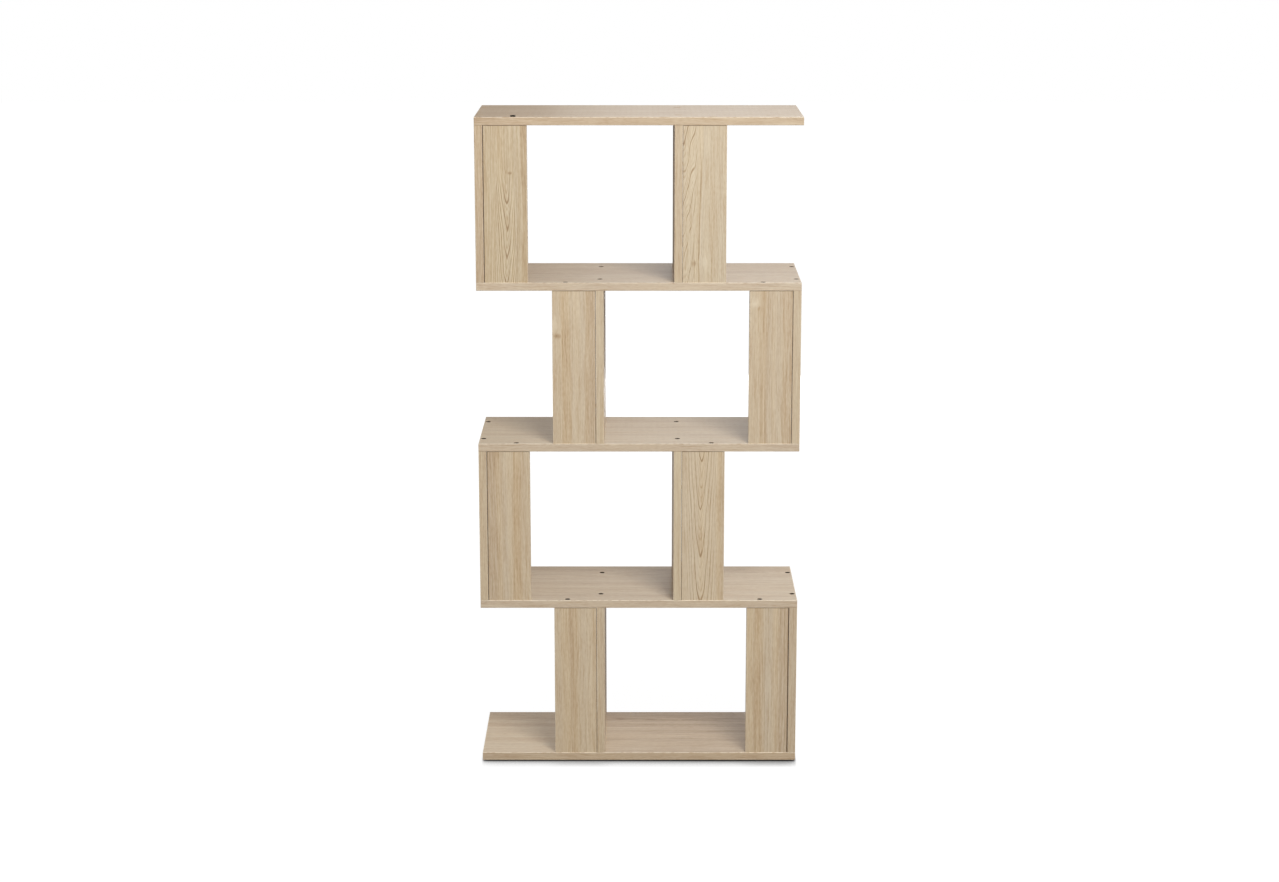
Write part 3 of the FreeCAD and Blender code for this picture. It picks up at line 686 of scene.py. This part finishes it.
def side_band(tier):
    """Band of one tier's two side panels: across is X, measured from the nearer panel's middle.

    Its lift runs straight along X, from the end post's at that post to the middle post's at the other.
    """
    posts = [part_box(f"tier_{tier}_{post}_side_panel") for post in ("end", "middle")]
    middles = [0.5 * MM * (low.x + high.x) for low, high in posts]
    low, high = posts[0]
    half_width = 0.5 * MM * (high.x - low.x)
    lift_gain = MIDDLE_LIFTS[tier] - END_LIFTS[tier]

    def layout(tree, axes):
        """Across is X and along is Z, and aside is the smaller of the distances from the two middles."""
        x, _, z = axes
        aside = calc(tree, "MINIMUM", *[distance(tree, x, middle) for middle in middles])
        share = calc(tree, "DIVIDE", calc(tree, "SUBTRACT", x, middles[0]), middles[1] - middles[0])
        lift = calc(tree, "MULTIPLY_ADD", share, lift_gain, END_LIFTS[tier])
        return x, z, aside, lift

    name = f"tier_{tier}_side_band_print"
    return band_material(name, SIDE_BAND_SEED + tier, layout, half_width, STRIP_SHADES, STRIP_ARRIS_HIGHLIGHT)


def front_band(tier):
    """Band of one tier's two front panels: across is Y, measured from the panels' middle."""
    low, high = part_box(f"tier_{tier}_end_front_panel")
    middle = 0.5 * MM * (low.y + high.y)
    half_width = 0.5 * MM * (high.y - low.y)

    def layout(tree, axes):
        """Across is Y and along is Z, and the lift is the same all over."""
        _, y, z = axes
        return y, z, distance(tree, y, middle), MIDDLE_LIFTS[tier]

    name = f"tier_{tier}_front_band_print"
    return band_material(name, FRONT_BAND_SEED + tier, layout, half_width, STRIP_SHADES, STRIP_ARRIS_HIGHLIGHT)


for tier in TIERS:
    dress(f"tier_{tier}_side_panel_bands", side_band(tier))
    dress(f"tier_{tier}_front_panel_bands", front_band(tier))

# Six screws hold each tier to the shelf above it and six to the shelf below.
# They are blackened steel, sunk below the surface but for one in the top shelf that stands a little proud.
# The driver has scraped them a little bright in places.
SCREW_BLACK = (22, 19, 17)
SCREW_BROWN = (36, 30, 25)
SCREW_BRIGHT = (112, 104, 96)
SCREW_CLOUD = (3.0, 3.0, 3.0)
SCREW_CLOUD_STEP = (0.35, 0.7)
SCREW_SCRAPE = (0.35, 2.5, 2.0)
SCREW_SCRAPE_STEP = (0.62, 0.75)
SCREW_SCRAPE_SHARE = 0.3
SCREW_SCRAPE_POLISH = 0.15
SCREW_ROUGHNESS = 0.55
SCREW_CLOUD_ROUGHNESS = 0.2
SCREW_RELIEF = 0.00008
SCREW_SPECULAR = 0.15


def screw_material():
    """Black oxide on steel: cloudy black to brown, with fine bright scrapes where long noise is high."""
    made, tree = fresh_material("blackened_screw")
    point = in_mm(tree)
    cloud = grain_noise(tree, point, *SCREW_CLOUD)
    scrape = between(tree, grain_noise(tree, point, *SCREW_SCRAPE), *SCREW_SCRAPE_STEP)
    browned = between(tree, cloud, *SCREW_CLOUD_STEP)
    coat = blend(tree, browned, linear(SCREW_BLACK), linear(SCREW_BROWN))
    colour = blend(tree, calc(tree, "MULTIPLY", scrape, SCREW_SCRAPE_SHARE), coat, linear(SCREW_BRIGHT))
    clouded = calc(tree, "MULTIPLY_ADD", cloud, SCREW_CLOUD_ROUGHNESS, SCREW_ROUGHNESS)
    roughness = calc(tree, "MULTIPLY_ADD", scrape, -SCREW_SCRAPE_POLISH, clouded)
    satin(made, colour, roughness, cloud, SCREW_RELIEF, Specular_IOR_Level=SCREW_SPECULAR)
    return made


blackened = screw_material()
for tier in TIERS:
    dress(f"tier_{tier}_upper_screws", blackened)
    dress(f"tier_{tier}_lower_screws", blackened)

# Turned beech dowels locate the front panels in the shelves and in the side panels.
# They are plain pinkish beech with short brown flecks, pressed into bores of both boards.
BEECH_PALE = (214, 178, 138)
BEECH_PINK = (193, 151, 111)
BEECH_FLECK = (142, 97, 62)
BEECH_STREAK_GRAIN = (1.6, 30.0, 2.0)
BEECH_STREAK_STEP = (0.3, 0.7)
BEECH_FLECK_GRAIN = (0.5, 2.5, 0.0)
BEECH_FLECK_STEP = (0.62, 0.72)
BEECH_FLECK_SHARE = 0.6
BEECH_ROUGHNESS = 0.55
BEECH_STREAK_ROUGHNESS = 0.2
BEECH_RELIEF = 0.0001


def beech_material(name, along):
    """Beech with its grain along one axis: streaks of long noise, and flecks where short noise is high."""
    made, tree = fresh_material(name)
    axes = axes_of(tree, in_mm(tree))
    across, through = [axis for axis in (AXIS_X, AXIS_Y, AXIS_Z) if axis != along]
    turned = {0: axes[across], 1: axes[along], 2: axes[through]}
    point = add(tree, "CombineXYZ", turned).outputs[0]
    streak = grain_noise(tree, point, *BEECH_STREAK_GRAIN)
    fleck = between(tree, grain_noise(tree, point, *BEECH_FLECK_GRAIN), *BEECH_FLECK_STEP)
    pink = between(tree, streak, *BEECH_STREAK_STEP)
    wood = blend(tree, pink, linear(BEECH_PALE), linear(BEECH_PINK))
    colour = blend(tree, calc(tree, "MULTIPLY", fleck, BEECH_FLECK_SHARE), wood, linear(BEECH_FLECK))
    roughness = calc(tree, "MULTIPLY_ADD", streak, BEECH_STREAK_ROUGHNESS, BEECH_ROUGHNESS)
    satin(made, colour, roughness, streak, BEECH_RELIEF)
    return made


upright_beech = beech_material("upright_beech", AXIS_Z)
level_beech = beech_material("level_beech", AXIS_X)
for tier in TIERS:
    dress(f"tier_{tier}_end_dowels", upright_beech)
    dress(f"tier_{tier}_edge_dowels", level_beech)

# Four low glides of moulded brown plastic carry the bottom shelf, each held by one zinc-plated nail.
# They lift the shelf a few millimetres, which leaves the thin dark line above the floor.
GLIDE_BROWN = (74, 58, 46)
GLIDE_WORN = (104, 86, 70)
GLIDE_SKIN = (0.4, 0.4, 2.0)
GLIDE_SCUFF = (2.0, 9.0, 3.0)
GLIDE_SCUFF_STEP = (0.5, 0.75)
GLIDE_ROUGHNESS = 0.45
GLIDE_SCUFF_ROUGHNESS = 0.2
GLIDE_RELIEF = 0.00005
ZINC_PALE = (188, 190, 192)
ZINC_DULL = (142, 145, 149)
ZINC_PATCH = (1.2, 1.2, 3.0)
ZINC_PATCH_STEP = (0.35, 0.65)
ZINC_DRAWN = (0.15, 3.0, 1.0)
ZINC_ROUGHNESS = 0.2
ZINC_DRAWN_ROUGHNESS = 0.3
ZINC_RELIEF = 0.00002


def glide_material():
    """Moulded plastic with a fine grained skin of even noise, scuffed paler where longer noise is high."""
    made, tree = fresh_material("glide_plastic_brown")
    point = in_mm(tree)
    skin = grain_noise(tree, point, *GLIDE_SKIN)
    scuff = between(tree, grain_noise(tree, point, *GLIDE_SCUFF), *GLIDE_SCUFF_STEP)
    colour = blend(tree, scuff, linear(GLIDE_BROWN), linear(GLIDE_WORN))
    roughness = calc(tree, "MULTIPLY_ADD", scuff, GLIDE_SCUFF_ROUGHNESS, GLIDE_ROUGHNESS)
    satin(made, colour, roughness, skin, GLIDE_RELIEF)
    return made


def nail_material():
    """Zinc plating: pale and dull patches of even noise, with fine drawn lines of long noise."""
    made, tree = fresh_material("zinc_nail")
    point = in_mm(tree)
    dulled = between(tree, grain_noise(tree, point, *ZINC_PATCH), *ZINC_PATCH_STEP)
    drawn = grain_noise(tree, point, *ZINC_DRAWN)
    colour = blend(tree, dulled, linear(ZINC_PALE), linear(ZINC_DULL))
    roughness = calc(tree, "MULTIPLY_ADD", drawn, ZINC_DRAWN_ROUGHNESS, ZINC_ROUGHNESS)
    satin(made, colour, roughness, drawn, ZINC_RELIEF, Metallic=1.0)
    return made


dress("floor_glides", glide_material())
dress("glide_nails", nail_material())

# Five thin printed discs are stuck over the top shelf's screws. The sixth stands proud and has none.
# They are cut from oak-printed foil, so their grain runs as the shelf's does.
DISC_CUT_EDGES = (0.28, 0.2)
DISC_CUT_DARK = 0.5
DISC_ROUGHNESS = 0.38
DISC_RELIEF = 0.00005


def disc_material():
    """Oak-printed foil like the top shelf, with its painted shade too, and a darker cut edge below its face.
    """
    made, tree = fresh_material("oak_cover_foil")
    top_shelf = len(shelf_figures)
    low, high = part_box(f"shelf_{top_shelf}")
    size = (high - low) * MM
    x, y, z = axes_of(tree, in_mm(tree, low))
    seed = SHELF_SEED_STEP * top_shelf
    tone, pores, warmth = oak_print(tree, y, x, size.z, seed, size.y, shelf_figures[-1])
    foil = oak_colours(tree, tone, pores, warmth, OAK_SHADES)
    cut = between(tree, z, *[size.z + edge for edge in DISC_CUT_EDGES])
    colour = blend(tree, calc(tree, "MULTIPLY", cut, DISC_CUT_DARK), foil, linear(DEEP_GRAIN))
    roughness = calc(tree, "MULTIPLY_ADD", tone, -PALE_POLISH, DISC_ROUGHNESS)
    satin(made, colour, roughness, tone, DISC_RELIEF, IOR=PAPER_IOR)
    return made


dress("top_screw_covers", disc_material())

# The studio floor is a wide pale sheet that shows white to the camera and keeps the shelf's soft shadow.
# Near the shelf, along its length, the glow darkens with a painted contact shadow, as a floor does where
# little light gets in.
FLOOR_REACH = 14.0
FLOOR_POINTS = 9
FLOOR_PALE = (0.4, 0.4, 0.4, 1.0)
FLOOR_SHADOW = (0.11, 0.11, 0.11, 1.0)
FLOOR_GLOW = 0.945
FLOOR_FAR_GLOW = 0.97
FLOOR_FAR_STEP = (0.9, 1.9)
CORNER_REACH = 0.038
CORNER_SAMPLES = 8
CORNER_DEPTH = 2.0
CORNER_SLOPE = 1.5
CORNER_ENDS = (0.304, 0.298)


def floor_sheet():
    """A level square grid, its points the outer product of two even rows of distances."""
    row = np.linspace(-FLOOR_REACH, FLOOR_REACH, FLOOR_POINTS)
    east, north = np.meshgrid(row, row)
    points = np.stack([east, north, np.zeros_like(east)], axis=-1).reshape(-1, 3)
    squares = np.arange(FLOOR_POINTS - 1)
    first = (squares[:, None] * FLOOR_POINTS + squares[None, :]).ravel()
    above = first + FLOOR_POINTS
    faces = np.stack([first, first + 1, above + 1, above], axis=-1)
    mesh = bpy.data.meshes.new("studio_floor")
    mesh.from_pydata(points.tolist(), [], faces.tolist())
    return bpy.data.objects.new("studio_floor", mesh)


def floor_material():
    """Diffuse pale sheet for light, and for the camera a little of that light and a near white glow.

    The glow rises a little with the distance from the object. Below the shelf's length it is multiplied by
    the openness of the corner, to a power that grows along X: a painted contact shadow.
    """
    made, tree = fresh_material("studio_floor_white")
    seen = add(tree, "LightPath").outputs
    place = add(tree, "TexCoord").outputs["Object"]
    x = axes_of(tree, place)[AXIS_X]
    under = between(tree, calc(tree, "ABSOLUTE", x), *CORNER_ENDS)
    power = calc(tree, "MULTIPLY", under, calc(tree, "MULTIPLY_ADD", x, CORNER_SLOPE, CORNER_DEPTH))
    around = add(tree, "AmbientOcclusion", {"Distance": CORNER_REACH}, samples=CORNER_SAMPLES)
    corner = calc(tree, "POWER", around.outputs["AO"], power)
    away = add(tree, "VectorMath", {0: place}, operation="LENGTH").outputs["Value"]
    far = between(tree, away, *FLOOR_FAR_STEP)
    level = calc(tree, "MULTIPLY_ADD", far, FLOOR_FAR_GLOW - FLOOR_GLOW, FLOOR_GLOW)
    glow = add(tree, "Emission", {"Strength": calc(tree, "MULTIPLY", corner, level)})
    lit = add(tree, "BsdfDiffuse", {"Color": FLOOR_SHADOW})
    shown = add(tree, "AddShader", {0: glow.outputs[0], 1: lit.outputs[0]})
    plain = add(tree, "BsdfDiffuse", {"Color": FLOOR_PALE})
    pick = add(tree, "MixShader", {0: seen["Is Camera Ray"], 1: plain.outputs[0], 2: shown.outputs[0]})
    add(tree, "OutputMaterial", {"Surface": pick.outputs[0]})
    return made


floor = floor_sheet()
floor.data.materials.append(floor_material())
bpy.context.scene.collection.objects.link(floor)

# Soft studio light: a pale room, a strong soft box high at the front right, one low behind, and weak ones
# by the camera and at both sides. The camera and reflections see the room as white, but for one dark flag
# low at the back left, which only reflections show.
ROOM_LIGHT = 0.45
ROOM_WHITE = (1.0, 1.0, 1.0, 1.0)
FLAG_LEFT = (-0.012, -0.04)
FLAG_BACK = (0.0, 0.3)
FLAG_TOP = (0.5, 0.12)
DIM_BACK = (-0.1, 0.4)
DIM_TOP = (0.6, 0.2)
DIM_SHARE = 0.35
LIGHT_AIM = (0.0, 0.0, 0.65)
BACK_BOX = "back_soft_box"
# Each soft box has a place and a size in metres and a power in watts.
SOFT_BOXES = {
    "key_soft_box": ((0.95, -2.4, 3.35), 1.2, 90.0),
    "front_soft_box": ((-0.4, -3.9, 1.25), 1.6, 17.0),
    "left_soft_box": ((-3.6, 0.2, 0.9), 1.6, 26.0),
    "right_soft_box": ((3.6, 0.2, 0.9), 1.6, 15.0),
    BACK_BOX: ((0.6, 3.7, 0.55), 1.0, 56.0),
}


def white_room():
    """World that is white to the camera, gloss and glass, and an even dimmer light for everything else.

    The flag is the product of three smooth steps of the direction: to the left, to the back, and low.
    The dimmer light falls by about a third low at the back.
    """
    world = bpy.data.worlds.new("white_room")
    world.use_nodes = True
    tree = world.node_tree
    tree.nodes.clear()
    seen = add(tree, "LightPath").outputs
    direct = calc(tree, "MAXIMUM", seen["Is Camera Ray"], seen["Is Glossy Ray"])
    direct = calc(tree, "MAXIMUM", direct, seen["Is Transmission Ray"])
    x, y, z = axes_of(tree, add(tree, "TexCoord").outputs["Generated"])
    flag = calc(tree, "MULTIPLY", between(tree, x, *FLAG_LEFT), between(tree, y, *FLAG_BACK))
    flag = calc(tree, "MULTIPLY", flag, between(tree, z, *FLAG_TOP))
    flag = calc(tree, "MULTIPLY", flag, seen["Is Glossy Ray"])
    shown = calc(tree, "SUBTRACT", 1.0, flag)
    dimmed = calc(tree, "MULTIPLY", between(tree, y, *DIM_BACK), between(tree, z, *DIM_TOP))
    light = calc(tree, "MULTIPLY_ADD", dimmed, -DIM_SHARE * ROOM_LIGHT, ROOM_LIGHT)
    strength = calc(tree, "MULTIPLY_ADD", direct, calc(tree, "SUBTRACT", shown, light), light)
    room = add(tree, "Background", {"Color": ROOM_WHITE, "Strength": strength})
    add(tree, "OutputWorld", {"Surface": room.outputs[0]})
    return world


def soft_box(name, place, size, power):
    """A square area lamp at a place, turned to the object's middle. Only the back one isn't reflected."""
    lamp = bpy.data.lights.new(name, "AREA")
    lamp.size = size
    lamp.energy = power
    made = bpy.data.objects.new(name, lamp)
    made.location = place
    toward = Vector(LIGHT_AIM) - Vector(place)
    made.rotation_euler = toward.to_track_quat("-Z", "Y").to_euler()
    made.visible_glossy = name != BACK_BOX
    bpy.context.scene.collection.objects.link(made)


bpy.context.scene.world = white_room()
for name, (place, size, power) in SOFT_BOXES.items():
    soft_box(name, place, size, power)
bpy.context.scene.view_settings.view_transform = "Standard"

# The camera stands in front of the middle, above the top shelf, and looks down a little.
# Its place and lens are fitted to the shelves' edges in the photograph.
IMAGE_WIDTH = 1279
FOCAL_PIXELS = 2522.0
SENSOR = 36.0
CAMERA_PLACE = (0.0011, -4.713, 1.669)
CAMERA_PITCH = 12.73

camera_data = bpy.data.cameras.new("studio_camera")
camera_data.sensor_width = SENSOR
camera_data.lens = FOCAL_PIXELS / IMAGE_WIDTH * SENSOR
camera = bpy.data.objects.new("studio_camera", camera_data)
camera.location = CAMERA_PLACE
camera.rotation_euler = (math.radians(90.0 - CAMERA_PITCH), 0.0, 0.0)
bpy.context.scene.collection.objects.link(camera)
bpy.context.scene.camera = camera
